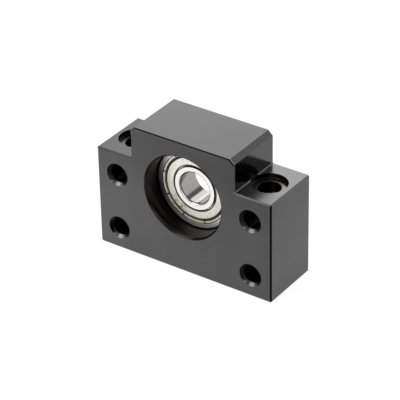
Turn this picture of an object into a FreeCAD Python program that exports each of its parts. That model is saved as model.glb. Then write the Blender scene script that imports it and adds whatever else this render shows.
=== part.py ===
import FreeCAD, Part

# End support for the free end of a ball screw with a 10 mm journal.
# A hat-shaped steel block holds a shielded deep groove ball bearing in a plain bore.
#
# Millimetres. X runs along the base, Y from the front face to the back, Z up.
# The origin is at the middle of the base. The shaft's axis is parallel to Y.

import math
import os

# Block outline
BASE_WIDTH = 60.0
BLOCK_DEPTH = 20.0
BLOCK_HEIGHT = 43.0
SHOULDER_HEIGHT = 32.5
HAT_WIDTH = 35.6
SHAFT_HEIGHT = 25.0
HAT_CORNER_CHAMFER = 1.5
EDGE_CHAMFER = 0.4
FOOT_FILLET = 0.4

# Bearing seat
SEAT_CLEARANCE = 0.015
SEAT_MOUTH_CHAMFER = 0.5

# Holes from front to back, on a rectangle
FACE_HOLE_DIAMETER = 5.5
FACE_HOLE_SPACING = 46.0
FACE_HOLE_PITCH = 18.0
FACE_HOLE_LOW_HEIGHT = 7.0
FACE_HOLE_CHAMFER = 0.9

# Holes down through the shoulders to the base
BASE_HOLE_DIAMETER = 6.6
BASE_HOLE_SPACING = 46.0
BASE_HOLE_CHAMFER = 0.2
COUNTERBORE_DIAMETER = 10.8
COUNTERBORE_DEPTH = 1.5
COUNTERBORE_CORNER = 0.2

# Bearing rings
BEARING_DIAMETER = 26.0
BEARING_BORE = 10.0
BEARING_WIDTH = 8.0
OUTER_CORNER_RADIUS = 0.5
BORE_CORNER_RADIUS = 0.6
LIP_CHAMFER = 0.12
OUTER_GROOVE_DEPTH = 0.8
INNER_GROOVE_DEPTH = 0.7
OUTER_GROOVE_RELIEF = 0.14
INNER_GROOVE_RELIEF = 0.07
INNER_STEP_HEIGHT = 0.4

# Balls
BALL_DIAMETER = 4.7625
BALL_COUNT = 7
BALL_CLEARANCE = 0.03

# Cage of two pressed and riveted ribbons
CAGE_SHEET = 0.4
CAGE_INNER_GAP = 0.6
CAGE_OUTER_GAP = 0.7
POCKET_CLEARANCE = 0.08
RIVET_DIAMETER = 0.8
RIVET_HEAD_DIAMETER = 1.3
RIVET_HEAD_HEIGHT = 0.3

# Shields, pressed from sheet, with a folded rim that is slit into segments
SHIELD_SHEET = 0.25
SHIELD_BORE_GAP = 0.3
SHIELD_FACE_RECESS = 0.2
SHIELD_RIM_RECESS = 0.15
SHIELD_SEAT_WIDTH = 0.62
SHIELD_SEAT_CLEARANCE = 0.02
SHIELD_LIP_BITE = 0.09
SHIELD_INNER_STEP_GAP = 0.25
RIM_FOLD_RADIUS = 0.1
RIM_LEG = 0.35
RIM_CHANNEL = 0.52
PRESS_STEP_RUN = 0.2
SLIT_COUNT = 9
SLIT_WIDTH = 0.3
SLIT_ANGLE = 7.6

# How far a cutting tool runs past the surface that it opens
OVERRUN = 1.0

# Worked out from the sizes above
HALF_DEPTH = BLOCK_DEPTH / 2
HALF_WIDTH = BEARING_WIDTH / 2
OUTER_RADIUS = BEARING_DIAMETER / 2
BORE_RADIUS = BEARING_BORE / 2
PITCH_RADIUS = (OUTER_RADIUS + BORE_RADIUS) / 2
BALL_RADIUS = BALL_DIAMETER / 2
BALL_STEP = 360 / BALL_COUNT
FIRST_BALL = 90.0

OUTER_GROOVE_BOTTOM = PITCH_RADIUS + BALL_RADIUS + BALL_CLEARANCE
INNER_GROOVE_BOTTOM = PITCH_RADIUS - BALL_RADIUS - BALL_CLEARANCE
OUTER_LAND_RADIUS = OUTER_GROOVE_BOTTOM - OUTER_GROOVE_DEPTH
INNER_LAND_RADIUS = INNER_GROOVE_BOTTOM + INNER_GROOVE_DEPTH
INNER_LIP_RADIUS = INNER_LAND_RADIUS - INNER_STEP_HEIGHT

RIM_FOLD_OUTER = RIM_FOLD_RADIUS + SHIELD_SHEET
SHIELD_RADIUS = OUTER_LAND_RADIUS + SHIELD_SEAT_WIDTH
SHIELD_SEAT_Y = HALF_WIDTH - SHIELD_RIM_RECESS - 2 * RIM_FOLD_OUTER
SHIELD_FACE_Y = HALF_WIDTH - SHIELD_FACE_RECESS
LIP_RADIUS = SHIELD_RADIUS - SHIELD_LIP_BITE

Y_AXIS = FreeCAD.Vector(0, 1, 0)
Z_AXIS = FreeCAD.Vector(0, 0, 1)
ORIGIN = FreeCAD.Vector(0, 0, 0)
SHAFT_CENTRE = FreeCAD.Vector(0, 0, SHAFT_HEIGHT)


def point(x, y, z=0.0):
    """A point. In a section about the shaft, x is the radius and y runs along the shaft."""
    return FreeCAD.Vector(x, y, z)


def face_of(points):
    """A flat face with straight sides through the points."""
    return Part.Face(Part.makePolygon(points + points[:1]))


def turned(section):
    """The solid that a radial section sweeps in one turn about the Y axis."""
    solid = section.revolve(ORIGIN, Y_AXIS, 360)
    return Part.Solid(solid) if solid.ShapeType == "Shell" else solid


def turned_both_ways(half_points):
    """A turned ring from the points of its +Y half, repeated as a mirror image on the -Y side."""
    other_half = [point(p.x, -p.y) for p in reversed(half_points)]
    return turned(face_of(half_points + other_half))


def hollow_disc(inner_radius, outer_radius, low_y, high_y):
    """A flat ring about the Y axis."""
    disc = Part.makeCylinder(outer_radius, high_y - low_y, point(0, low_y), Y_AXIS)
    hole = Part.makeCylinder(inner_radius, high_y - low_y, point(0, low_y), Y_AXIS)
    return disc.cut(hole)


def turned_to(shape, angle):
    """A copy of a shape that lies on the +X side, turned about the Y axis to an angle in the XZ plane."""
    copy = shape.copy()
    copy.rotate(ORIGIN, Y_AXIS, -angle)
    return copy


def ball_angles():
    return [FIRST_BALL + BALL_STEP * index for index in range(BALL_COUNT)]


def rivet_angles():
    return [angle + BALL_STEP / 2 for angle in ball_angles()]


def round_edges(solid, radius, y):
    """The circular edges of one radius at one distance either side of the middle plane."""
    def matches(edge):
        if not isinstance(edge.Curve, Part.Circle):
            return False
        same_radius = math.isclose(edge.Curve.Radius, radius, abs_tol=1e-6)
        return same_radius and math.isclose(abs(edge.Curve.Center.y), y, abs_tol=1e-6)
    return [edge for edge in solid.Edges if matches(edge)]


def hat_outline():
    """The block's front outline: base, shoulders, and the raised middle with bevelled corners."""
    half_base = BASE_WIDTH / 2
    half_hat = HAT_WIDTH / 2
    centre_x = half_hat + FOOT_FILLET
    centre_z = SHOULDER_HEIGHT + FOOT_FILLET
    bend = FOOT_FILLET * math.sqrt(0.5)

    def side(sign):
        """One side from the base up to the hat's top, as straight runs and the foot's arc."""
        def at(x, z):
            return FreeCAD.Vector(sign * x, -HALF_DEPTH, z)
        arc_start = at(centre_x, SHOULDER_HEIGHT)
        arc_middle = at(centre_x - bend, centre_z - bend)
        arc_end = at(half_hat, centre_z)
        lower = Part.makePolygon([
            at(half_base - EDGE_CHAMFER, 0),
            at(half_base, EDGE_CHAMFER),
            at(half_base, SHOULDER_HEIGHT - EDGE_CHAMFER),
            at(half_base - EDGE_CHAMFER, SHOULDER_HEIGHT),
            arc_start,
        ])
        foot = Part.Arc(arc_start, arc_middle, arc_end).toShape()
        upper = Part.makePolygon([
            arc_end,
            at(half_hat, BLOCK_HEIGHT - HAT_CORNER_CHAMFER),
            at(half_hat - HAT_CORNER_CHAMFER, BLOCK_HEIGHT),
        ])
        return lower.Edges + [foot] + upper.Edges

    right = side(1)
    left = side(-1)
    top = Part.makeLine(right[-1].lastVertex().Point, left[-1].lastVertex().Point)
    base = Part.makeLine(left[0].firstVertex().Point, right[0].firstVertex().Point)
    edges = Part.sortEdges(right + left + [top, base])[0]
    return Part.Wire(edges)


def bevelled_block():
    """The outline drawn through the block's depth, with its front and back edges broken."""
    block = Part.Face(hat_outline()).extrude(FreeCAD.Vector(0, BLOCK_DEPTH, 0))

    def on_front_or_back(edge):
        box = edge.BoundBox
        flat = math.isclose(box.YMin, box.YMax, abs_tol=1e-6)
        return flat and math.isclose(abs(box.YMin), HALF_DEPTH, abs_tol=1e-6)

    return block.makeChamfer(EDGE_CHAMFER, [edge for edge in block.Edges if on_front_or_back(edge)])


def through_hole(radius, chamfer):
    """A cutter along Y through the block, with a bevelled mouth on both faces."""
    mouth = HALF_DEPTH + OVERRUN
    half = [
        point(0, mouth),
        point(radius + chamfer + OVERRUN, mouth),
        point(radius, HALF_DEPTH - chamfer),
    ]
    return turned_both_ways(half)


def counterbored_hole():
    """A cutter along Z. Its short head cuts through the fillet at the hat's foot and leaves the wall above plain."""
    hole_radius = BASE_HOLE_DIAMETER / 2
    head_radius = COUNTERBORE_DIAMETER / 2
    floor = SHOULDER_HEIGHT - COUNTERBORE_DEPTH
    head_top = SHOULDER_HEIGHT + FOOT_FILLET
    section = face_of([
        FreeCAD.Vector(0, 0, -OVERRUN),
        FreeCAD.Vector(hole_radius, 0, -OVERRUN),
        FreeCAD.Vector(hole_radius, 0, floor - BASE_HOLE_CHAMFER),
        FreeCAD.Vector(hole_radius + BASE_HOLE_CHAMFER, 0, floor),
        FreeCAD.Vector(head_radius - COUNTERBORE_CORNER, 0, floor),
        FreeCAD.Vector(head_radius, 0, floor + COUNTERBORE_CORNER),
        FreeCAD.Vector(head_radius, 0, head_top),
        FreeCAD.Vector(0, 0, head_top),
    ])
    return section.revolve(ORIGIN, Z_AXIS, 360)


def housing():
    seat = through_hole(OUTER_RADIUS + SEAT_CLEARANCE, SEAT_MOUTH_CHAMFER).translated(SHAFT_CENTRE)
    cutters = [seat]
    for sign in (-1, 1):
        for row in (0, 1):
            height = FACE_HOLE_LOW_HEIGHT + FACE_HOLE_PITCH * row
            place = FreeCAD.Vector(sign * FACE_HOLE_SPACING / 2, 0, height)
            cutters.append(through_hole(FACE_HOLE_DIAMETER / 2, FACE_HOLE_CHAMFER).translated(place))
        cutters.append(counterbored_hole().translated(FreeCAD.Vector(sign * BASE_HOLE_SPACING / 2, 0, 0)))
    return bevelled_block().cut(cutters)


def groove(pitch_radius, groove_radius):
    """The cutter for a raceway: a round section turned about the shaft."""
    circle = Part.Wire(Part.makeCircle(groove_radius, point(pitch_radius, 0)))
    return turned(Part.Face(circle))


def outer_ring():
    undercut_radius = SHIELD_RADIUS + SHIELD_SEAT_CLEARANCE
    # The shield's fold springs out below this lip and holds it in.
    fold_centre = SHIELD_RADIUS - RIM_FOLD_OUTER
    lip_reach = LIP_RADIUS - fold_centre
    fold_drop = RIM_FOLD_OUTER + math.sqrt(RIM_FOLD_OUTER ** 2 - lip_reach ** 2)
    lip_y = SHIELD_SEAT_Y + fold_drop + SHIELD_SEAT_CLEARANCE
    ring = turned_both_ways([
        point(OUTER_LAND_RADIUS, SHIELD_SEAT_Y),
        point(undercut_radius, SHIELD_SEAT_Y),
        point(undercut_radius, lip_y - (undercut_radius - LIP_RADIUS)),
        point(LIP_RADIUS, lip_y),
        point(LIP_RADIUS, HALF_WIDTH - LIP_CHAMFER),
        point(LIP_RADIUS + LIP_CHAMFER, HALF_WIDTH),
        point(OUTER_RADIUS, HALF_WIDTH),
    ])
    groove_radius = BALL_RADIUS + OUTER_GROOVE_RELIEF
    ring = ring.cut(groove(OUTER_GROOVE_BOTTOM - groove_radius, groove_radius))
    return ring.makeFillet(OUTER_CORNER_RADIUS, round_edges(ring, OUTER_RADIUS, HALF_WIDTH))


def inner_ring():
    step_y = SHIELD_FACE_Y - SHIELD_SHEET - SHIELD_INNER_STEP_GAP
    ring = turned_both_ways([
        point(BORE_RADIUS, HALF_WIDTH),
        point(INNER_LIP_RADIUS - LIP_CHAMFER, HALF_WIDTH),
        point(INNER_LIP_RADIUS, HALF_WIDTH - LIP_CHAMFER),
        point(INNER_LIP_RADIUS, step_y),
        point(INNER_LAND_RADIUS, step_y),
    ])
    groove_radius = BALL_RADIUS + INNER_GROOVE_RELIEF
    ring = ring.cut(groove(INNER_GROOVE_BOTTOM + groove_radius, groove_radius))
    return ring.makeFillet(BORE_CORNER_RADIUS, round_edges(ring, BORE_RADIUS, HALF_WIDTH))


def ball(angle):
    return turned_to(Part.makeSphere(BALL_RADIUS, point(PITCH_RADIUS, 0)), angle)


def cage_half():
    """The +Y ribbon: a flat strip between the races, domed over each ball and pierced for the rivets."""
    inner_radius = INNER_LAND_RADIUS + CAGE_INNER_GAP
    outer_radius = OUTER_LAND_RADIUS - CAGE_OUTER_GAP
    pocket_radius = BALL_RADIUS + POCKET_CLEARANCE
    dome_radius = pocket_radius + CAGE_SHEET
    middle = point(PITCH_RADIUS, 0)
    domes = [turned_to(Part.makeSphere(dome_radius, middle), angle) for angle in ball_angles()]
    pockets = [turned_to(Part.makeSphere(pocket_radius, middle), angle) for angle in ball_angles()]
    pierce = Part.makeCylinder(RIVET_DIAMETER / 2, dome_radius, middle - OVERRUN * Y_AXIS, Y_AXIS)
    holes = [turned_to(pierce, angle) for angle in rivet_angles()]
    strip = hollow_disc(inner_radius, outer_radius, 0, CAGE_SHEET)
    room = hollow_disc(inner_radius, outer_radius, 0, dome_radius + OVERRUN)
    return strip.fuse(domes).common(room).cut(pockets + holes)


def rivet():
    """A round rivet through both ribbons, with a domed head at each end."""
    head_radius = RIVET_HEAD_DIAMETER / 2
    shank_radius = RIVET_DIAMETER / 2
    top = CAGE_SHEET + RIVET_HEAD_HEIGHT
    # The dome's radius follows from the head's width and height.
    dome_radius = (head_radius ** 2 + RIVET_HEAD_HEIGHT ** 2) / (2 * RIVET_HEAD_HEIGHT)
    half_angle = math.asin(head_radius / dome_radius) / 2
    crown_x = dome_radius * math.sin(half_angle)
    crown_y = top - dome_radius * (1 - math.cos(half_angle))

    def end(sign):
        """Edges from the shank's side to the tip of one head."""
        under_shank = point(shank_radius, sign * CAGE_SHEET)
        under_rim = point(head_radius, sign * CAGE_SHEET)
        dome = Part.Arc(under_rim, point(crown_x, sign * crown_y), point(0, sign * top)).toShape()
        return [Part.makeLine(under_shank, under_rim), dome]

    side = Part.makeLine(point(shank_radius, -CAGE_SHEET), point(shank_radius, CAGE_SHEET))
    axis = Part.makeLine(point(0, -top), point(0, top))
    edges = Part.sortEdges(end(1) + end(-1) + [side, axis])[0]
    return turned(Part.Face(Part.Wire(edges))).translated(point(PITCH_RADIUS, 0))


def cage_rivets():
    return Part.makeCompound([turned_to(rivet(), angle) for angle in rivet_angles()])


def shield():
    """The +Y shield: flat face, pressed step, channel, and a rim folded back on itself and slit."""
    fold_centre = SHIELD_RADIUS - RIM_FOLD_OUTER
    leg_end = fold_centre - RIM_LEG
    channel_start = leg_end - RIM_CHANNEL
    face_edge = channel_start - PRESS_STEP_RUN
    under_face = SHIELD_FACE_Y - SHIELD_SHEET
    rim_top = SHIELD_SEAT_Y + 2 * RIM_FOLD_OUTER
    underside = Part.makePolygon([
        point(INNER_LIP_RADIUS + SHIELD_BORE_GAP, under_face),
        point(face_edge, under_face),
        point(channel_start, SHIELD_SEAT_Y),
        point(fold_centre, SHIELD_SEAT_Y),
    ])
    fold = Part.Arc(
        point(fold_centre, SHIELD_SEAT_Y),
        point(SHIELD_RADIUS, SHIELD_SEAT_Y + RIM_FOLD_OUTER),
        point(fold_centre, rim_top),
    ).toShape()
    leg = Part.makeLine(point(fold_centre, rim_top), point(leg_end, rim_top))
    outside = Part.Wire(underside.Edges + [fold, leg])
    sheet = outside.makeOffset2D(-SHIELD_SHEET, join=0, fill=True, openResult=True)
    blank = turned(sheet)
    slit = Part.makeBox(
        SHIELD_RADIUS - leg_end + 2 * OVERRUN, 2 * RIM_FOLD_OUTER + 2 * OVERRUN, SLIT_WIDTH,
        point(leg_end - SHIELD_SHEET, SHIELD_SEAT_Y - OVERRUN, -SLIT_WIDTH / 2),
    )
    slits = [turned_to(slit, SLIT_ANGLE + 360 / SLIT_COUNT * index) for index in range(SLIT_COUNT)]
    return blank.cut(slits)


def in_front(shape):
    """The mirror image on the other side of the bearing's middle plane."""
    return shape.mirror(ORIGIN, Y_AXIS)


def bearing_parts():
    """Every piece of the bearing about the Y axis, by name."""
    parts = {
        "outer_ring": outer_ring(),
        "inner_ring": inner_ring(),
        "cage_rear": cage_half(),
        "cage_front": in_front(cage_half()),
        "cage_rivets": cage_rivets(),
        "shield_rear": shield(),
        "shield_front": in_front(shield()),
    }
    for number, angle in enumerate(ball_angles(), start=1):
        parts[f"ball_{number}"] = ball(angle)
    return parts


def main():
    os.makedirs("parts", exist_ok=True)
    parts = {"housing": housing()}
    for name, shape in bearing_parts().items():
        parts[name] = shape.translated(SHAFT_CENTRE)
    for name, shape in parts.items():
        if not shape.isValid():
            raise ValueError(f"{name} is not a valid solid")
        shape.exportStep(f"parts/{name}.step")
        print(name, len(shape.Solids), "solid", round(shape.Volume, 3), "mm3")


main()
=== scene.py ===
# %% [markdown]
# # A ball screw end support
# A ball screw hangs between two blocks. The one in this scene carries the free end: a hat-shaped
# steel block with a shielded ball bearing set into it, so that the screw can turn and can also
# grow a little in length as it warms up.
#
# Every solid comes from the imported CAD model, down to the balls and the rivets of their cage. All
# that repeats is already in it, so Geometry Nodes have nothing to make here. What is made here is
# how the steel looks, the light, the floor and the camera.

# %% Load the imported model
import math

import bpy
from mathutils import Matrix, Vector


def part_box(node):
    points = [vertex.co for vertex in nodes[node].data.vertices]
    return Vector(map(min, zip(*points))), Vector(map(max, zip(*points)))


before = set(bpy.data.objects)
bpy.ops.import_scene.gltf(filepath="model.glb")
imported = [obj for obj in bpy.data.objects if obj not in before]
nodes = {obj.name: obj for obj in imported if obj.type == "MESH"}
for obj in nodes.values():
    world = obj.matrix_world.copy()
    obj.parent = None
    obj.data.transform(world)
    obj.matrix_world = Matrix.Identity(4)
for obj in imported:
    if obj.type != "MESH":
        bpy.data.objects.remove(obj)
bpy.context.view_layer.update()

# %% [markdown]
# ## The camera
# A small machine part is photographed from some way off through a long lens, so its parallel
# edges stay nearly parallel. Such a camera could be placed by eye, but on a block this plain even
# a degree shows. So its place was worked out from the block's edges in the photograph: about
# 60 cm away, to the right, and looking down by 32 degrees. It is made first, because every look
# at the object is judged through it.

# %% The camera at the photograph's place
CAMERA_PLACE = Vector((0.300448, -0.425103, 0.342372))
CAMERA_TURN = math.radians(35.34)
CAMERA_DIP = math.radians(31.838)
CAMERA_ROLL = math.radians(-1.186)
LENS_MM = 191.33
SENSOR_MM = 36.0
NEAREST = 0.01

lens = bpy.data.cameras.new("photo_camera")
lens.sensor_width = SENSOR_MM
lens.lens = LENS_MM
lens.clip_start = NEAREST
camera = bpy.data.objects.new("photo_camera", lens)
bpy.context.scene.collection.objects.link(camera)
turned = Matrix.Rotation(CAMERA_TURN, 4, "Z")
dipped = Matrix.Rotation(math.radians(90) - CAMERA_DIP, 4, "X")
rolled = Matrix.Rotation(CAMERA_ROLL, 4, "Z")
camera.matrix_world = Matrix.Translation(CAMERA_PLACE) @ turned @ dipped @ rolled
bpy.context.scene.camera = camera
print("camera at", [round(v, 3) for v in camera.matrix_world.translation])

# %% [markdown]
# ## Sizes the finishes follow
# A finish changes where a tool changed: the seat was turned, the holes were drilled, the outside
# was ground. Each place could be picked by hand, face by face, and lost when the model changes.
# Here the shader is told where the places are instead, from the model's own boxes and a few sizes
# of the block, all in metres.

# %% Sizes of the block, in metres
MM = 0.001
block_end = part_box("housing")[1]
HALF_WIDTH = block_end.x
HALF_DEPTH = block_end.y
TOP = block_end.z
SHOULDER = 32.5 * MM
SHAFT_HEIGHT = 25 * MM
SEAT_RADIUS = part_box("outer_ring")[1].x
BOLT_X = 23 * MM
FACE_HOLE_MIDDLE = 16 * MM
FACE_HOLE_HALF_PITCH = 9 * MM
print("block, mm:", [round(v / MM, 2) for v in (2 * HALF_WIDTH, 2 * HALF_DEPTH, TOP)])

# %% [markdown]
# ## Helpers for materials
# A finish could be built by hand in the shader editor. It is written out here, so that each size
# and colour in it has a name. Colours are written as a designer picks them, as sRGB hex, and
# Blender's shaders want linear light, so one function turns one into the other. A second one adds
# a node with its settings and its links. A third turns a real size in millimetres into a
# texture's scale. Two more start a material, and put it on its pieces once it has its surface.
#
# Several sockets of one node can share a name, so most are given by number. A Map Range has its
# value at 0, the range that it comes in at 1 and 2, and the range that it goes out to at 3 and 4.
# A Mix has its factor at 0, and what it mixes at 2 and 3, or at 6 and 7 for colours.
#
# A place on the steel is a number too, 1 inside it and 0 outside. So the smaller of two such
# numbers says where both places are, and the greater one where either is.

# %% Colour, node and scale helpers
# Most values of a noise texture lie between these two.
NOISE_LOW = 0.3
NOISE_HIGH = 0.7


def linear(code):
    """The linear colour of an sRGB hex code."""
    parts = [int(code[i:i + 2], 16) / 255 for i in (1, 3, 5)]
    return [p / 12.92 if p <= 0.04045 else ((p + 0.055) / 1.055) ** 2.4 for p in parts] + [1.0]


def add_node(tree, kind, inputs=None, **settings):
    """A new node. An input is a socket, a node whose first output is meant, or a value."""
    made = tree.nodes.new(kind)
    for name, value in settings.items():
        setattr(made, name, value)
    for key, value in (inputs or {}).items():
        if isinstance(value, bpy.types.Node):
            value = value.outputs[0]
        if isinstance(value, bpy.types.NodeSocket):
            tree.links.new(value, made.inputs[key])
        else:
            made.inputs[key].default_value = value
    return made


def per_metre(size_mm):
    """How many times a pattern of that size fits in a metre, which is a texture's scale here."""
    return 1000.0 / size_mm


print("mid grey is", round(linear("#808080")[0], 3))


# %% Start a material, and put it on
def new_material(name):
    """An empty material and its node tree."""
    made = bpy.data.materials.new(name)
    made.use_nodes = True
    made.node_tree.nodes.clear()
    return made, made.node_tree


def wear(names, material, surface):
    """Finishes a material with its surface, and gives it to CAD nodes."""
    add_node(material.node_tree, "ShaderNodeOutputMaterial", {"Surface": surface})
    for name in names:
        for slot in nodes[name].material_slots:
            slot.material = material
        print(name, "->", material.name)


print("CAD nodes to finish:", len(nodes))

# %% [markdown]
# ## Black oxide on ground steel
# The block is milled from steel, ground on its outside and blackened in a hot salt bath. The bath
# grows a layer of black iron oxide a thousandth of a millimetre thick. It doesn't fill the tool
# marks: the steel keeps its satin shine, and mirrors only about a tenth of the light. Black paint
# would be a simpler shader, but it mirrors too little when it is seen face on. A dark metal is
# right: its sides mirror the pale floor as dark grey, and its top the softbox behind it.
#
# First the shader has to know where it is on the block. The block is the same on its left and
# right and on its front and back, so one quarter is enough: the absolute value of each coordinate
# folds the other three onto it.

# %% Black oxide: the place on the block
blackened, tree = new_material("black_oxide_on_ground_steel")
place = add_node(tree, "ShaderNodeTexCoord").outputs["Object"]
across = add_node(tree, "ShaderNodeSeparateXYZ", {0: place}).outputs[0]
folded = add_node(tree, "ShaderNodeVectorMath", {0: place}, operation="ABSOLUTE")
side, depth, height = add_node(tree, "ShaderNodeSeparateXYZ", {0: folded}).outputs
print("one quarter of the block stands for all four")

# %% [markdown]
# ### Its bored places
# A drill or a boring tool leaves a duller wall than a grinder does, and the bath's oil stays in a
# hole, so the walls are darker than the outside; their much darker colour is also painted shade for
# the depth of the holes. The walls could have a material of their own, but the CAD block has one
# slot for all of it. So a wall is found by its distance from the hole's axis.

# %% Black oxide: hole walls
# Each reach takes in a hole's wall, its bevelled mouth and a little more.
SEAT_MOUTH = 0.55 * MM
FACE_HOLE_REACH = 3.7 * MM
COUNTERBORE_REACH = 5.42 * MM
COUNTERBORE_FLOOR = 31 * MM
# Heights that are nearer than this count as the same.
HAIR = 0.02 * MM
LOW_HOLE = FACE_HOLE_MIDDLE - FACE_HOLE_HALF_PITCH
HIGH_HOLE = FACE_HOLE_MIDDLE + FACE_HOLE_HALF_PITCH
ROUND_DEPTH = (1.0, 0.0, 1.0)
ROUND_HEIGHT = (1.0, 1.0, 0.0)

# Each line is a bored place: where its axis is, which way it is round, and how far it reaches.
BORED = (
    ((0.0, 0.0, SHAFT_HEIGHT), ROUND_DEPTH, SEAT_RADIUS + SEAT_MOUTH),
    ((BOLT_X, 0.0, LOW_HOLE), ROUND_DEPTH, FACE_HOLE_REACH),
    ((BOLT_X, 0.0, HIGH_HOLE), ROUND_DEPTH, FACE_HOLE_REACH),
    ((BOLT_X, 0.0, 0.0), ROUND_HEIGHT, COUNTERBORE_REACH),
)
walls = []
for axis_place, round_it, reach in BORED:
    offset = add_node(tree, "ShaderNodeVectorMath", {0: folded, 1: axis_place},
                      operation="SUBTRACT")
    flat = add_node(tree, "ShaderNodeVectorMath", {0: offset, 1: round_it}, operation="MULTIPLY")
    away = add_node(tree, "ShaderNodeVectorMath", {0: flat}, operation="LENGTH").outputs["Value"]
    walls.append(add_node(tree, "ShaderNodeMath", {0: away, 1: reach}, operation="LESS_THAN"))
seat, low_hole, high_hole, base_hole = walls

# The counterbore's floor is milled flat and stays as bright as the shoulder. The hat's side wall
# above it and the underside round the base hole aren't bored at all.
below = add_node(tree, "ShaderNodeMath", {0: height, 1: SHOULDER}, operation="LESS_THAN")
floor_there = add_node(tree, "ShaderNodeMath", {0: height, 1: COUNTERBORE_FLOOR, 2: HAIR},
                       operation="COMPARE")
below = add_node(tree, "ShaderNodeMath", {0: below, 1: floor_there}, operation="SUBTRACT")
above_base = add_node(tree, "ShaderNodeMath", {0: height, 1: HAIR}, operation="GREATER_THAN")
for limit in (below, above_base):
    base_hole = add_node(tree, "ShaderNodeMath", {0: base_hole, 1: limit}, operation="MINIMUM")
bored = seat
for wall in (low_hole, high_hole, base_hole):
    bored = add_node(tree, "ShaderNodeMath", {0: bored, 1: wall}, operation="MAXIMUM")
print("bored places:", len(BORED), "and their mirror images")

# %% [markdown]
# ### The lips of its holes
# A countersink opened the mouth of each hole in the front and the back. The cone it left is painted
# dark like the wall, as painted shade, but for its lowest part: that lip faces up and keeps the
# face's level, so the lamp on the left shows in it. A pale ring all round the mouth would be
# simpler, but the rest of the cone stays dark. So only the lip is taken out of the bored place
# again, softly at its ends.

# %% Black oxide: lips kept out of the painted shade
MOUTH_DEPTH = 0.9 * MM
# How far below the hole's axis the lip begins, and where it is quite free of the painted shade.
LIP_STARTS = 2.35 * MM
LIP_IS_UNSHADED = 2.95 * MM
at_mouth = add_node(tree, "ShaderNodeMath", {0: depth, 1: HALF_DEPTH - MOUTH_DEPTH},
                    operation="GREATER_THAN")
lips = []
for hole_height in (LOW_HOLE, HIGH_HOLE):
    drop = add_node(tree, "ShaderNodeMath", {0: hole_height, 1: height}, operation="SUBTRACT")
    low_part = add_node(tree, "ShaderNodeMapRange", {0: drop, 1: LIP_STARTS, 2: LIP_IS_UNSHADED})
    within = add_node(tree, "ShaderNodeMath", {0: drop, 1: FACE_HOLE_REACH},
                      operation="LESS_THAN")
    lips.append(add_node(tree, "ShaderNodeMath", {0: low_part, 1: within}, operation="MINIMUM"))
lip = add_node(tree, "ShaderNodeMath", {0: lips[0], 1: lips[1]}, operation="MAXIMUM")
face_holes = add_node(tree, "ShaderNodeMath", {0: low_hole, 1: high_hole}, operation="MAXIMUM")
for limit in (face_holes, at_mouth):
    lip = add_node(tree, "ShaderNodeMath", {0: lip, 1: limit}, operation="MINIMUM")
bored = add_node(tree, "ShaderNodeMath", {0: bored, 1: lip}, operation="SUBTRACT", use_clamp=True)
# The cone above the lip gets painted shade.
shaded_cone = add_node(tree, "ShaderNodeMath", {0: face_holes, 1: at_mouth}, operation="MINIMUM")
shaded_cone = add_node(tree, "ShaderNodeMath", {0: shaded_cone, 1: lip}, operation="SUBTRACT", use_clamp=True)
# The lip is where the cone's painted shade gives way.
print("a lip is wiped from", round(LIP_STARTS / MM, 2), "mm below its hole's axis")

# %% [markdown]
# ### Its edges
# Thin dark lines are painted on the edges as painted dark reflections: down the four corners of the
# block and along the top of the hat. The shoulders' front and back edges are painted only a little
# darker, as painted shade. The hat's two wide bevels are painted lighter, as a painted highlight. A
# wear mask made from the mesh's curvature would find all edges alike, so each kind of edge is found
# by its place instead.

# %% Black oxide: painted dark edges, painted shade on shoulder edges, and lit bevels
# The edges are broken by 0.4 mm. A dark line covers that and a little beside it, and on the hat
# only its outer part.
EDGE = 0.45 * MM
HAT_EDGE = 0.28 * MM
HAT_HALF_WIDTH = 17.8 * MM
HAT_BEVEL = 1.5 * MM
# All over a bevel, the way out to the side and the way up add up to this. Straight away from the
# bevel, that sum changes 1.4 times as fast as the distance does.
BEVEL_SUM = HAT_HALF_WIDTH + TOP - HAT_BEVEL
EDGE_ACROSS_BEVEL = 1.4 * EDGE
BESIDE_BEVEL = 0.1 * MM

on_hat = add_node(tree, "ShaderNodeMath", {0: side, 1: HAT_HALF_WIDTH}, operation="LESS_THAN")
off_hat = add_node(tree, "ShaderNodeMath", {0: 1.0, 1: on_hat}, operation="SUBTRACT")
over = add_node(tree, "ShaderNodeMath", {0: side, 1: height}, operation="ADD")

# Each line is a part of the block: which way it lies out, and where it starts.
PARTS = (
    (depth, HALF_DEPTH - EDGE),
    (depth, HALF_DEPTH - HAT_EDGE),
    (side, HALF_WIDTH - EDGE),
    (height, TOP - EDGE),
    (over, BEVEL_SUM - EDGE_ACROSS_BEVEL),
    (over, BEVEL_SUM - BESIDE_BEVEL),
)
at_face, at_hat_face, at_end, at_top, at_corner, at_bevel = [
    add_node(tree, "ShaderNodeMath", {0: way_out, 1: start}, operation="GREATER_THAN")
    for way_out, start in PARTS]
hat_line = add_node(tree, "ShaderNodeMath", {0: at_top, 1: at_corner}, operation="MAXIMUM")
for limit in (on_hat, at_hat_face):
    hat_line = add_node(tree, "ShaderNodeMath", {0: hat_line, 1: limit}, operation="MINIMUM")
# The dark edge lines are painted dark reflections.
painted_dark_edge = add_node(tree, "ShaderNodeMath", {0: at_end, 1: at_face}, operation="MINIMUM")
painted_dark_edge = add_node(tree, "ShaderNodeMath", {0: painted_dark_edge, 1: hat_line}, operation="MAXIMUM")
# The bevels are painted lighter, as a painted highlight.
bevel_highlight = add_node(tree, "ShaderNodeMath", {0: at_bevel, 1: on_hat}, operation="MINIMUM")
at_shoulder = add_node(tree, "ShaderNodeMath", {0: height, 1: SHOULDER, 2: EDGE},
                       operation="COMPARE")
# The shoulders' front and back edges get painted shade.
shaded_shoulder_edge = at_shoulder
for limit in (at_face, off_hat):
    shaded_shoulder_edge = add_node(tree, "ShaderNodeMath", {0: shaded_shoulder_edge, 1: limit}, operation="MINIMUM")
print("edge lines, mm wide:", round(EDGE / MM, 2), "and on the hat", round(HAT_EDGE / MM, 2))

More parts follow.
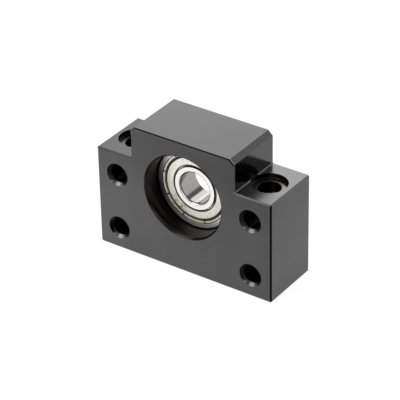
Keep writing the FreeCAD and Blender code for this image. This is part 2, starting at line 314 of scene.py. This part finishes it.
# %% [markdown]
# ### Its grain
# A surface grinder leaves fine lines along the block, about 0.1 mm apart. At that spacing they
# would be lost in the render, so they are drawn 0.3 mm apart. The bath leaves soft clouds of 10
# to 15 mm. In the holes, oil has dried in smears that follow the tool round: a few millimetres
# long and narrow along the axis. A brushed picture could be wrapped on the block for all this,
# but its seams would show at the corners. Noise that is stretched in the block's own space has
# no seams.

# %% Black oxide: grinding lines, clouds and oil smears
LINE_LENGTH_MM = 25
LINE_SPACING_MM = 0.3
CLOUD_MM = 13
SMEAR_LENGTH_MM = 7
SMEAR_WIDTH_MM = 1.5
lines_scale = (per_metre(LINE_LENGTH_MM), per_metre(LINE_SPACING_MM), per_metre(LINE_SPACING_MM))
smear_scale = (per_metre(SMEAR_LENGTH_MM), per_metre(SMEAR_WIDTH_MM), per_metre(SMEAR_LENGTH_MM))
along = add_node(tree, "ShaderNodeMapping", {0: place, "Scale": lines_scale})
lines = add_node(tree, "ShaderNodeTexNoise", {"Vector": along, "Scale": 1.0, "Detail": 2.0})
clouds = add_node(tree, "ShaderNodeTexNoise",
                  {"Vector": place, "Scale": per_metre(CLOUD_MM), "Detail": 3.0})
round_axis = add_node(tree, "ShaderNodeMapping", {0: place, "Scale": smear_scale})
smears = add_node(tree, "ShaderNodeTexNoise",
                  {"Vector": round_axis, "Scale": 1.0, "Detail": 1.0})
mark = add_node(tree, "ShaderNodeMix", {0: bored, 2: lines, 3: smears})
print("lines", LINE_SPACING_MM, "mm, smears", SMEAR_WIDTH_MM, "mm, clouds", CLOUD_MM, "mm")

# %% [markdown]
# ### Its levels
# The plain ground face has one dark grey and the bored walls a blacker one. Everything else is a
# level: how bright the steel is at a place, against the plain face. Several materials would meet
# in hard lines, and levels can be multiplied in one shader, so levels are used.
#
# Some change slowly over the block. The block is painted lighter at its left end, as painted light,
# and it gets darker towards the top. In the seat, painted shade darkens the steel deep inside,
# blackest at the left, and more over the right half, while near the mouth the steel is painted a
# little lighter.

# %% Black oxide: levels that change slowly
CLOUD_LEVELS = (0.94, 1.06)
SEAT_SHADE_ENDS = 6.3 * MM
MOUTH_IS_UNSHADED = 7.9 * MM
MOUTH_LEVEL = 1.2

# Each line is a change: the way it runs, where it starts and ends, and its level at those two.
# The first change is painted light, lighter at the left end, and the last two paint shade in the
# seat.
SLOW_CHANGES = (
    (across, -HALF_WIDTH, HALF_WIDTH, 1.3, 0.97),
    (height, 20 * MM, 36 * MM, 1.0, 0.75),
    (across, -8 * MM, 6 * MM, 0.14, 0.5),
    (across, -2 * MM, 8 * MM, 1.0, 0.45),
)
painted_light_drift, upward, deep_seat_shade, right_seat_shade = [
    add_node(tree, "ShaderNodeMapRange", {0: way, 1: start, 2: end, 3: first, 4: last})
    for way, start, end, first, last in SLOW_CHANGES]
shade = add_node(tree, "ShaderNodeMapRange",
                 {0: clouds, 1: NOISE_LOW, 2: NOISE_HIGH, 3: CLOUD_LEVELS[0], 4: CLOUD_LEVELS[1]})
# The seat's painted shade: darkest deep inside, and painted lighter near the mouth.
seat_shade = add_node(tree, "ShaderNodeMapRange",
               {0: depth, 1: SEAT_SHADE_ENDS, 2: MOUTH_IS_UNSHADED, 3: deep_seat_shade, 4: MOUTH_LEVEL})
seat_shade = add_node(tree, "ShaderNodeMath", {0: seat_shade, 1: right_seat_shade}, operation="MULTIPLY")
seat_shade = add_node(tree, "ShaderNodeMix", {0: seat, 2: 1.0, 3: seat_shade})
# Prints where the seat's painted shade ends, counted from the faces.
print("oil ends", round((HALF_DEPTH - SEAT_SHADE_ENDS) / MM, 2), "mm inside the faces")

# %% [markdown]
# ### Levels of single places
# Each shoulder is painted with a level of its own, the right one brighter than the left one, as
# painted light. The counterbore's floor belongs to its shoulder. The edges and cones each have one
# level of painted shade, and the bevels one of painted highlight. The grinding lines hardly change
# the plain face, while the oil smears in the holes nearly double the walls' level or take most of
# it away. A painted mask could hold all of this, but levels by place stay sharp from near by and
# need no picture.

# %% Black oxide: levels of shoulders, edges and marks
LEFT_SHOULDER_LIGHT = 0.79
RIGHT_SHOULDER_LIGHT = 1.8
LINE_STRENGTH = 0.02
SMEAR_STRENGTH = 0.8
MARK_LOW = 0.35
MARK_HIGH = 0.65

# Each line is a place and its level.
# The cone and the edge lines are painted shade, and the bevels a painted highlight.
PLACE_LEVELS = ((shaded_cone, 0.5), (painted_dark_edge, 0.05), (bevel_highlight, 1.4), (shaded_shoulder_edge, 0.36))
in_shaded_cone, on_painted_dark_edge, on_bevel_highlight, on_shaded_shoulder_edge = [
    add_node(tree, "ShaderNodeMapRange", {0: painted_spot, 3: 1.0, 4: level})
    for painted_spot, level in PLACE_LEVELS]
ground = add_node(tree, "ShaderNodeMath", {0: at_shoulder, 1: floor_there}, operation="MAXIMUM")
ground = add_node(tree, "ShaderNodeMath", {0: ground, 1: off_hat}, operation="MINIMUM")
# The shoulders' own levels are painted light, brighter on the right.
right = add_node(tree, "ShaderNodeMath", {0: across, 1: 0.0}, operation="GREATER_THAN")
shoulder_light = add_node(tree, "ShaderNodeMapRange", {0: right, 3: LEFT_SHOULDER_LIGHT, 4: RIGHT_SHOULDER_LIGHT})
shoulder_light = add_node(tree, "ShaderNodeMix", {0: ground, 2: 1.0, 3: shoulder_light})
strength = add_node(tree, "ShaderNodeMapRange", {0: bored, 3: LINE_STRENGTH, 4: SMEAR_STRENGTH})
fine = add_node(tree, "ShaderNodeMapRange",
                {0: mark, 1: MARK_LOW, 2: MARK_HIGH, 3: -1.0, 4: 1.0})
fine = add_node(tree, "ShaderNodeMath", {0: fine, 1: strength, 2: 1.0}, operation="MULTIPLY_ADD")
print("shoulders: left", LEFT_SHOULDER_LIGHT, "right", RIGHT_SHOULDER_LIGHT)

# %% [markdown]
# ### Its colour, shine and relief
# A ground and blackened face is satin, so its roughness is about a quarter. Bored walls are
# rougher. The cutter's side made the hat's side walls, and they came out smoother than the
# ground faces. A deeper relief would be easier to see, but the real face feels smooth. So it is a
# thousandth of a millimetre, like the marks themselves, and only breaks up what the steel
# mirrors.

# %% Black oxide: the finished shader
FACE_COLOUR = linear("#565555")
# The bored colour is partly duller drilled steel and partly painted shade inside the holes.
BORED_AND_SHADE_COLOUR = linear("#1B1917")
FACE_ROUGHNESS = (0.25, 0.27)
BORED_ROUGHER_BY = 0.1
MILLED_ROUGHNESS = 0.6
WALL_NEARBY = 0.1 * MM
MARK_RELIEF = 0.001 * MM

level = shade
for part in (painted_light_drift, upward, seat_shade, in_shaded_cone, fine, on_painted_dark_edge, on_bevel_highlight, on_shaded_shoulder_edge, shoulder_light):
    level = add_node(tree, "ShaderNodeMath", {0: level, 1: part}, operation="MULTIPLY")
base = add_node(tree, "ShaderNodeMix", {0: bored, 6: FACE_COLOUR, 7: BORED_AND_SHADE_COLOUR},
                data_type="RGBA").outputs[2]
tinted = add_node(tree, "ShaderNodeVectorMath", {0: base, 3: level}, operation="SCALE")
gloss = add_node(tree, "ShaderNodeMapRange", {0: mark, 1: NOISE_LOW, 2: NOISE_HIGH,
                                              3: FACE_ROUGHNESS[0], 4: FACE_ROUGHNESS[1]})
rougher = add_node(tree, "ShaderNodeMapRange", {0: bored, 3: 0.0, 4: BORED_ROUGHER_BY})
rough = add_node(tree, "ShaderNodeMath", {0: rougher, 1: gloss}, operation="ADD")
milled = add_node(tree, "ShaderNodeMath", {0: side, 1: HAT_HALF_WIDTH, 2: WALL_NEARBY},
                  operation="COMPARE")
milled = add_node(tree, "ShaderNodeMapRange", {0: milled, 3: 1.0, 4: MILLED_ROUGHNESS})
rough = add_node(tree, "ShaderNodeMath", {0: rough, 1: milled}, operation="MULTIPLY")
relief = add_node(tree, "ShaderNodeBump",
                  {"Height": mark, "Strength": 1.0, "Distance": MARK_RELIEF})
shader = add_node(tree, "ShaderNodeBsdfPrincipled",
                  {"Base Color": tinted, "Roughness": rough, "Normal": relief, "Metallic": 1.0})
wear(["housing"], blackened, shader)

# %% [markdown]
# ## Ground bearing steel
# The two rings are hardened chromium steel. Their sides and raceways are ground, and a grinding
# wheel that runs round the axis leaves circles on the flat sides and rings in the bore. An
# anisotropic shader would stretch the highlights but draw no lines. One number makes both kinds
# of line: the distance from the axis added to the place along it.
#
# The rounded corners are only turned, so they are darker than the ground sides, and painted shade
# darkens them further, least at the lower right. The bore is painted greyer than the sides, as
# painted shade. The wall of the lip beside the shield is painted dark as the shade of the gap
# there, and the left of the outer ring is darkened by painted shade.

# %% Where the rings' finishes change
def distances_from_the_shaft(tree):
    """The place from the middle of the bearing, the distance from its axis, and along it."""
    place = add_node(tree, "ShaderNodeTexCoord").outputs["Object"]
    centred = add_node(tree, "ShaderNodeVectorMath", {0: place, 1: (0.0, 0.0, SHAFT_HEIGHT)},
                       operation="SUBTRACT")
    flat = add_node(tree, "ShaderNodeVectorMath", {0: centred, 1: ROUND_DEPTH},
                    operation="MULTIPLY")
    radius = add_node(tree, "ShaderNodeVectorMath", {0: flat}, operation="LENGTH")
    run = add_node(tree, "ShaderNodeSeparateXYZ", {0: centred}).outputs[1]
    return centred, radius.outputs["Value"], run


BORE_RADIUS = 5 * MM
RING_HALF_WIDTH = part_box("outer_ring")[1].y
CORNER = 0.5 * MM
LIP_WALL = 0.13 * MM


def ring_places(tree, radius, run, corner_side, corner_radius, bore_radius, lip_radius):
    """A ring's rounded corners, its bore, and the wall of its lip."""
    past = add_node(tree, "ShaderNodeMath", {0: radius, 1: corner_radius}, operation=corner_side)
    out = add_node(tree, "ShaderNodeMath", {0: run}, operation="ABSOLUTE")
    out = add_node(tree, "ShaderNodeMath", {0: out, 1: RING_HALF_WIDTH - CORNER},
                   operation="GREATER_THAN")
    corner = add_node(tree, "ShaderNodeMath", {0: past, 1: out}, operation="MINIMUM")
    bore = add_node(tree, "ShaderNodeMath", {0: radius, 1: bore_radius}, operation="LESS_THAN")
    lip_wall = add_node(tree, "ShaderNodeMath", {0: radius, 1: lip_radius, 2: LIP_WALL},
                        operation="COMPARE")
    return corner, bore, lip_wall


print("bore and outside, mm:", [round(2 * r / MM, 2) for r in (BORE_RADIUS, SEAT_RADIUS)])

# %% [markdown]
# ### Its levels
# As on the block, a place is a number from 0 to 1 and has a level. Materials of their own for the
# corners, the bore and the lip would need the mesh cut up, and a CAD node's mesh stays as it is.
# The lighter lower right of the corners and the painted shade at the left come and go slowly, each
# along a slanted way, because neither lies straight to one side.

# %% How bright a ring is from place to place
CIRCLE_LEVELS = (0.92, 1.06)
DULL_SHADED_CORNER = 0.3
# The bore is painted darker, as painted shade.
BORE_SHADE_LEVEL = 0.4
# The lip's wall is painted dark as the shade of the gap beside the shield.
LIP_GAP_SHADE = 0.08

# The leans say how much a place's height counts, beside its place to the right.
CORNER_LIGHT_LEAN = -0.5
LEFT_SHADE_LEAN = 0.25
CORNER_LIGHT_STARTS = -3 * MM
CORNER_LIGHT_IS_FULL = 1 * MM
LEFT_SHADE_IS_FULL = -12.8 * MM
LEFT_SHADE_ENDS = -7.5 * MM


def ring_levels(tree, circles, places, from_axis, left_shade_level, lower_right_corner_level):
    """The product of all levels of a ring."""
    corner, bore, lip_wall = places
    sideways, _, up = add_node(tree, "ShaderNodeSeparateXYZ", {0: from_axis}).outputs
    # The corners get painted shade, lighter towards the lower right.
    lower_right = add_node(tree, "ShaderNodeMath", {0: up, 1: CORNER_LIGHT_LEAN, 2: sideways},
                           operation="MULTIPLY_ADD")
    corner_shade = add_node(tree, "ShaderNodeMapRange", {0: lower_right, 1: CORNER_LIGHT_STARTS, 2: CORNER_LIGHT_IS_FULL,
                                                   3: DULL_SHADED_CORNER, 4: lower_right_corner_level})
    # Painted shade darkens the ring towards its left.
    leftwards = add_node(tree, "ShaderNodeMath", {0: up, 1: LEFT_SHADE_LEAN, 2: sideways},
                         operation="MULTIPLY_ADD")
    left_shade = add_node(tree, "ShaderNodeMapRange",
                    {0: leftwards, 1: LEFT_SHADE_IS_FULL, 2: LEFT_SHADE_ENDS, 3: left_shade_level, 4: 1.0})
    level = add_node(tree, "ShaderNodeMapRange", {0: circles, 1: NOISE_LOW, 2: NOISE_HIGH,
                                                  3: CIRCLE_LEVELS[0], 4: CIRCLE_LEVELS[1]})
    for painted_spot, spot_level in ((corner, corner_shade), (bore, BORE_SHADE_LEVEL), (lip_wall, LIP_GAP_SHADE)):
        part = add_node(tree, "ShaderNodeMapRange", {0: painted_spot, 3: 1.0, 4: spot_level})
        level = add_node(tree, "ShaderNodeMath", {0: level, 1: part}, operation="MULTIPLY")
    return add_node(tree, "ShaderNodeMath", {0: level, 1: left_shade}, operation="MULTIPLY")


# The corners are darker steel with painted shade; the bore and the lip's wall are painted shade.
print("levels: dull corner", DULL_SHADED_CORNER, "bore", BORE_SHADE_LEVEL, "oily lip", LIP_GAP_SHADE)

# %% [markdown]
# ### Both rings
# The two rings are finished in the same way with other numbers. Their materials could be written
# out one after the other, but two such copies soon drift apart, so one loop makes both. The
# circles are drawn 0.35 mm apart, because the real ones, some hundredths of a millimetre apart,
# wouldn't show.

# %% Bearing rings
CIRCLE_MM = 0.35
RING_RELIEF = 0.0002 * MM
ROUGHER_OR_SMOOTHER = 0.03

# Each entry is a ring: its name, on which side of what radius its corners lie, the radii of its
# bore and of its lip, its colour, how metallic and how rough it is, the level of its painted shade
# at the left, and the painted level of its corners at the lower right.
RINGS = (
    ("outer_ring", "GREATER_THAN", SEAT_RADIUS - 0.45 * MM, 0.0, 11.16 * MM,
     "#F0EAE6", 0.95, 0.34, 0.2, 0.3),
    ("inner_ring", "LESS_THAN", BORE_RADIUS + 0.5 * MM, BORE_RADIUS + 0.02 * MM, 6.89 * MM,
     "#F4F2EF", 0.9, 0.16, 1.0, 0.6),
)
for name, corner_side, corner, bore, lip_at, colour, metallic, roughness, shaded_left, corner_shade in RINGS:
    ring_steel, tree = new_material("ground_bearing_steel_" + name)
    from_axis, radius, run = distances_from_the_shaft(tree)
    line = add_node(tree, "ShaderNodeMath", {0: radius, 1: run}, operation="ADD")
    circles = add_node(tree, "ShaderNodeTexNoise",
                       {"W": line, "Scale": per_metre(CIRCLE_MM), "Detail": 2.0},
                       noise_dimensions="1D")
    places = ring_places(tree, radius, run, corner_side, corner, bore, lip_at)
    level = ring_levels(tree, circles, places, from_axis, shaded_left, corner_shade)
    tinted = add_node(tree, "ShaderNodeVectorMath", {0: linear(colour)[:3], 3: level},
                      operation="SCALE")
    rough = add_node(tree, "ShaderNodeMapRange", {0: circles, 1: NOISE_LOW, 2: NOISE_HIGH,
                                                  3: roughness - ROUGHER_OR_SMOOTHER,
                                                  4: roughness + ROUGHER_OR_SMOOTHER})
    relief = add_node(tree, "ShaderNodeBump",
                      {"Height": circles, "Strength": 1.0, "Distance": RING_RELIEF})
    shader = add_node(tree, "ShaderNodeBsdfPrincipled",
                      {"Base Color": tinted, "Roughness": rough, "Normal": relief,
                       "Metallic": metallic})
    wear([name], ring_steel, shader)

# %% [markdown]
# ## Pressed shields
# Each shield is a disc of thin bright sheet, pressed and then rolled into the groove of the outer
# ring. Sheet is rolled smooth but never polished: it has a warm, milky shine with a fine mottle,
# more of a pale satin than a mirror. A pure metal would mirror the floor too sharply, so the
# shader is only partly metallic.
#
# Grease creeps out and stays in the channel beside the rim, which reads as a dark olive ring, and
# in the slits. Both are in the model as real hollows, and so small that their grease and their
# shade have to be painted to show. The shield's inner brim, where it stands off the inner ring, is
# painted dark as the shade of that gap.

# %% Shields: the sheet and its greased, shaded channel
MOTTLE_MM = 0.9
STREAK_MM = 5
CHANNEL_FROM = 9.66 * MM
CHANNEL_TO = 10.6 * MM
CHANNEL_DEPTH = 0.18 * MM
sheet_steel, tree = new_material("bright_pressed_steel_sheet")
from_axis, radius, run = distances_from_the_shaft(tree)
mottle = add_node(tree, "ShaderNodeTexNoise",
                  {"Vector": from_axis, "Scale": per_metre(MOTTLE_MM), "Detail": 3.0})
streaks = add_node(tree, "ShaderNodeTexNoise",
                   {"Vector": from_axis, "Scale": per_metre(STREAK_MM), "Detail": 2.0})
past = add_node(tree, "ShaderNodeMath", {0: radius, 1: CHANNEL_FROM}, operation="GREATER_THAN")
before = add_node(tree, "ShaderNodeMath", {0: radius, 1: CHANNEL_TO}, operation="LESS_THAN")
deep = add_node(tree, "ShaderNodeMath", {0: run}, operation="ABSOLUTE")
deep = add_node(tree, "ShaderNodeMath", {0: deep, 1: RING_HALF_WIDTH - CHANNEL_DEPTH},
                operation="LESS_THAN")
# The channel and the slits are painted dark for their grease and their shade.
greased_and_shaded = past
for limit in (before, deep):
    greased_and_shaded = add_node(tree, "ShaderNodeMath", {0: greased_and_shaded, 1: limit}, operation="MINIMUM")
print("channel, mm:", round(CHANNEL_FROM / MM, 2), "to", round(CHANNEL_TO / MM, 2))

# %% [markdown]
# ### The slits
# Nine slits part the rim, one every 40 degrees. Nine tests, one for each slit, would find them.
# One is enough when a turn is counted in slits: each slit then stands at a whole number, and the
# way to the nearest whole number is the way to the nearest slit.

# %% Shields: grease and painted shade in the slits
SLITS = 9
SLIT_ANGLE = math.radians(7.6)
SLIT_REACH = 0.25 * MM
SLITS_PER_RADIAN = SLITS / math.tau
x, _, z = add_node(tree, "ShaderNodeSeparateXYZ", {0: from_axis}).outputs
angle = add_node(tree, "ShaderNodeMath", {0: z, 1: x}, operation="ARCTAN2")
count = add_node(tree, "ShaderNodeMath",
                 {0: angle, 1: SLITS_PER_RADIAN, 2: -SLIT_ANGLE * SLITS_PER_RADIAN},
                 operation="MULTIPLY_ADD")
nearest = add_node(tree, "ShaderNodeMath", {0: count}, operation="ROUND")
off = add_node(tree, "ShaderNodeMath", {0: count, 1: nearest}, operation="SUBTRACT")
off = add_node(tree, "ShaderNodeMath", {0: off}, operation="ABSOLUTE")
off = add_node(tree, "ShaderNodeMath", {0: off, 1: radius}, operation="MULTIPLY")
slit = add_node(tree, "ShaderNodeMath", {0: off, 1: SLIT_REACH * SLITS_PER_RADIAN},
                operation="LESS_THAN")
slit = add_node(tree, "ShaderNodeMath", {0: slit, 1: past}, operation="MINIMUM")
greased_and_shaded = add_node(tree, "ShaderNodeMath", {0: greased_and_shaded, 1: slit}, operation="MAXIMUM")
print("slits:", SLITS, "first at", round(math.degrees(SLIT_ANGLE), 1), "degrees")

# %% [markdown]
# ### Painted shade on the sheet
# A spot of painted shade lies low on the left of the front shield. An even round spot would look
# like paint, so fine noise breaks it into flecks. Painted shade also darkens the sheet downwards
# and to the right.

# %% Shields: painted shade and the finished shader
SHADE_SPOT_MIDDLE = (-5.2 * MM, -3.8 * MM, -7.0 * MM)
SHADE_SPOT_FULL = 0.5 * MM
SHADE_SPOT_ENDS = 4.5 * MM
FLECK_MM = 0.8
BRIM_FROM = 7.48 * MM
BRIM_TO = 7.64 * MM
SHEET_ROUGHNESS = (0.26, 0.38)
SHEET_METALLIC = 0.3
SHEET_RELIEF = 0.004 * MM

# The spot is painted shade, broken into flecks.
painted_spot = add_node(tree, "ShaderNodeVectorMath", {0: from_axis, 1: SHADE_SPOT_MIDDLE},
                operation="DISTANCE").outputs["Value"]
flecks = add_node(tree, "ShaderNodeTexNoise",
                  {"Vector": from_axis, "Scale": per_metre(FLECK_MM), "Detail": 4.0})

# Each line is a change: what it follows, where it starts and ends, and its value at those two.
SHEET_CHANGES = (
    (painted_spot, SHADE_SPOT_FULL, SHADE_SPOT_ENDS, 1.0, 0.0),
    (flecks, 0.48, 0.62, 0.12, 1.0),
    # The brim is painted dark as the shade of the gap at the inner ring.
    (radius, BRIM_FROM, BRIM_TO, 1.0, 0.0),
    (z, -8 * MM, 3 * MM, 0.82, 1.0),
    (x, 1 * MM, 8 * MM, 1.0, 0.88),
    (mottle, 0.35, 0.75, 0.0, 1.0),
    (streaks, NOISE_LOW, NOISE_HIGH, SHEET_ROUGHNESS[0], SHEET_ROUGHNESS[1]),
)
painted_spot, flecks, brim_gap_shade, downwards, rightwards, spread, rough = [
    add_node(tree, "ShaderNodeMapRange", {0: what, 1: start, 2: end, 3: first, 4: last})
    for what, start, end, first, last in SHEET_CHANGES]
painted_spot = add_node(tree, "ShaderNodeMath", {0: painted_spot, 1: flecks}, operation="MULTIPLY")
# Painted shade: the sheet gets darker downwards and to the right.
sheet_shade = add_node(tree, "ShaderNodeMath", {0: downwards, 1: rightwards}, operation="MULTIPLY")
tinted = add_node(tree, "ShaderNodeMix", {0: spread, 6: linear("#FFFEF4"), 7: linear("#E8E6D6")},
                  data_type="RGBA").outputs[2]
tinted = add_node(tree, "ShaderNodeVectorMath", {0: tinted, 3: sheet_shade}, operation="SCALE")

# Each line is a place and the colour painted there: a spot of painted shade, grease and painted
# shade in the channel and slits, and painted shade at the brim.
for darkened, colour in ((painted_spot, "#746C52"), (greased_and_shaded, "#4C4830"), (brim_gap_shade, "#2C2A20")):
    tinted = add_node(tree, "ShaderNodeMix", {0: darkened, 6: tinted, 7: linear(colour)},
                      data_type="RGBA").outputs[2]
relief = add_node(tree, "ShaderNodeBump",
                  {"Height": mottle, "Strength": 1.0, "Distance": SHEET_RELIEF})
shader = add_node(tree, "ShaderNodeBsdfPrincipled",
                  {"Base Color": tinted, "Roughness": rough, "Normal": relief,
                   "Metallic": SHEET_METALLIC})
wear(["shield_front", "shield_rear"], sheet_steel, shader)

# %% [markdown]
# ## The cage and the balls
# They sit behind the shields and show only through the thin gap at the inner ring, so a plain
# grey would pass in this view. They get finishes of their own, because each is a piece of the
# model and may be looked at by itself. The cage is pressed sheet with a grey, oiled look. The
# balls are lapped until they are mirrors, with only the faintest waviness.

# %% Cage and balls
CAGE_NODES = ("cage_front", "cage_rear", "cage_rivets")
BALL_NODES = sorted(name for name in nodes if name.startswith("ball_"))

# Each line is a finish: its name, the nodes that have it, the size in mm and the detail of its
# pattern, its two colours, and its roughness where the pattern is low and high.
INSIDE = (
    ("oiled_pressed_steel_cage", CAGE_NODES, 0.6, 4.0, "#C9C7C1", "#A5A29A", 0.3, 0.45),
    ("lapped_ball_steel", BALL_NODES, 1.5, 2.0, "#E2E2E4", "#D2D2D5", 0.04, 0.09),
)
for name, worn_by, size_mm, detail, pale, dark, smooth, dull in INSIDE:
    inside_steel, tree = new_material(name)
    place = add_node(tree, "ShaderNodeTexCoord").outputs["Object"]
    pattern = add_node(tree, "ShaderNodeTexNoise",
                       {"Vector": place, "Scale": per_metre(size_mm), "Detail": detail})
    tinted = add_node(tree, "ShaderNodeMix", {0: pattern, 6: linear(pale), 7: linear(dark)},
                      data_type="RGBA").outputs[2]
    rough = add_node(tree, "ShaderNodeMapRange",
                     {0: pattern, 1: NOISE_LOW, 2: NOISE_HIGH, 3: smooth, 4: dull})
    shader = add_node(tree, "ShaderNodeBsdfPrincipled",
                      {"Base Color": tinted, "Roughness": rough, "Metallic": 1.0})
    wear(worn_by, inside_steel, shader)

# %% [markdown]
# ## The studio
# The photograph was taken on a white sweep, a sheet that runs from under the block up behind it,
# with the light above and behind. Metal only shows what it mirrors, so the sky is white for the
# camera and for mirrored rays, while it lights the block only gently.
#
# A sky that is white all over would be simpler, but bright steel needs something dark to mirror.
# In the studio that is the ceiling between the wall and the lamp: it draws the dark streak in the
# bearing's bore. Straight above the block the ceiling is light again.

# %% Sky
# These four say how steeply a ray points up, from 0 for level to 1 for straight up.
WALL_ENDS = 0.53
CEILING_STARTS = 0.62
LIGHT_STARTS = 0.78
LIGHT_IS_FULL = 0.95
# And these three how bright it is there, against white.
DARK_CEILING = 0.15
LIGHT_OVERHEAD = 0.65
GENTLE_SKY = 0.55
WHITE = (1.0, 1.0, 1.0, 1.0)

scene = bpy.context.scene
world = bpy.data.worlds.new("studio_sky")
scene.world = world
world.use_nodes = True
tree = world.node_tree
tree.nodes.clear()
rays = add_node(tree, "ShaderNodeLightPath").outputs
metal = add_node(tree, "ShaderNodeMath",
                 {0: rays["Is Glossy Ray"], 1: rays["Is Transmission Ray"]}, operation="MAXIMUM")
way = add_node(tree, "ShaderNodeTexCoord").outputs["Generated"]
upwards = add_node(tree, "ShaderNodeSeparateXYZ", {0: way}).outputs[2]
ceiling = add_node(tree, "ShaderNodeMapRange",
                   {0: upwards, 1: WALL_ENDS, 2: CEILING_STARTS, 3: 1.0, 4: DARK_CEILING})
overhead = add_node(tree, "ShaderNodeMapRange",
                    {0: upwards, 1: LIGHT_STARTS, 2: LIGHT_IS_FULL, 3: 0.0, 4: LIGHT_OVERHEAD})
ceiling = add_node(tree, "ShaderNodeMath", {0: ceiling, 1: overhead}, operation="ADD")
seen = add_node(tree, "ShaderNodeMapRange", {0: rays["Is Camera Ray"], 3: GENTLE_SKY, 4: 1.0})
seen = add_node(tree, "ShaderNodeMix", {0: metal, 2: seen, 3: ceiling})
sky = add_node(tree, "ShaderNodeBackground", {0: WHITE, 1: seen})
add_node(tree, "ShaderNodeOutputWorld", {0: sky})
print("sky: ceiling", DARK_CEILING, "and overhead", DARK_CEILING + LIGHT_OVERHEAD)

# %% [markdown]
# ### Floor
# The sweep's near part is a flat white sheet. A plain white material under strong lamps would
# clip the block as well, and one that only glows would lose the block's shadow. So the floor's
# look is a share of white glow, for the camera and for mirrored rays, and the rest is the real
# light on it, which keeps the shadow.

# %% Floor
FLOOR_RADIUS = 6.0
UNDER_THE_BASE = -0.0001
# The share of the glow in what is mirrored and in what the camera sees, and how strong it is.
MIRRORED_WHITE = 0.75
SEEN_WHITE = 0.88
WHITE_STRENGTH = 1.06
bpy.ops.mesh.primitive_circle_add(vertices=64, radius=FLOOR_RADIUS, fill_type="NGON",
                                  location=(0.0, 0.0, UNDER_THE_BASE))
floor = bpy.context.object
floor.name = "floor"
pale_sweep, tree = new_material("white_sweep")
rays = add_node(tree, "ShaderNodeLightPath").outputs
mirrored = add_node(tree, "ShaderNodeMath",
                    {0: rays["Is Glossy Ray"], 1: rays["Is Transmission Ray"]},
                    operation="MAXIMUM")
mirrored = add_node(tree, "ShaderNodeMath", {0: mirrored, 1: MIRRORED_WHITE},
                    operation="MULTIPLY")
direct = add_node(tree, "ShaderNodeMath", {0: rays["Is Camera Ray"], 1: SEEN_WHITE},
                  operation="MULTIPLY")
share = add_node(tree, "ShaderNodeMath", {0: mirrored, 1: direct}, operation="MAXIMUM")
lit = add_node(tree, "ShaderNodeBsdfDiffuse", {0: linear("#F6F6F6")})
white = add_node(tree, "ShaderNodeEmission", {0: WHITE, 1: WHITE_STRENGTH})
both = add_node(tree, "ShaderNodeMixShader", {0: share, 1: lit, 2: white})
add_node(tree, "ShaderNodeOutputMaterial", {"Surface": both})
floor.data.materials.append(pale_sweep)
print("floor:", 2 * FLOOR_RADIUS, "m across")

# %% [markdown]
# ### Softboxes
# Three soft lamps stand round the block: one behind, which the block's top mirrors, and two small
# ones in front, which light the shield. The one behind is narrow, because its right edge, as the
# bearing's bore mirrors it, ends the dark streak there. Spot lamps would show in the steel as
# hard little glints, so area lamps are used. The same energy looks dimmer on a larger lamp, so
# each is given by how bright its surface looks, and its size can change without that.

# %% Three softboxes
AIM = Vector((0.0, 0.0, 0.02))

# Each line is a lamp: its name, its direction and distance from the block, its width and height,
# and how bright its surface looks.
SOFTBOXES = (
    ("softbox_behind", (-0.275, 0.69, 0.665), 1.5, 0.92, 1.3, 1.8),
    ("softbox_front", (0.45, -0.80, 0.35), 0.9, 0.6, 0.6, 2.4),
    ("softbox_left", (-0.50, -0.52, 0.69), 0.7, 0.42, 0.42, 3.6),
)
for name, towards, away, box_width, box_height, radiance in SOFTBOXES:
    data = bpy.data.lights.new(name, "AREA")
    data.shape = "RECTANGLE"
    data.size = box_width
    data.size_y = box_height
    data.energy = radiance * math.pi * box_width * box_height
    lamp = bpy.data.objects.new(name, data)
    direction = Vector(towards).normalized()
    lamp.location = direction * away + AIM
    lamp.rotation_euler = direction.to_track_quat("Z", "Y").to_euler()
    scene.collection.objects.link(lamp)
scene.view_settings.view_transform = "Standard"
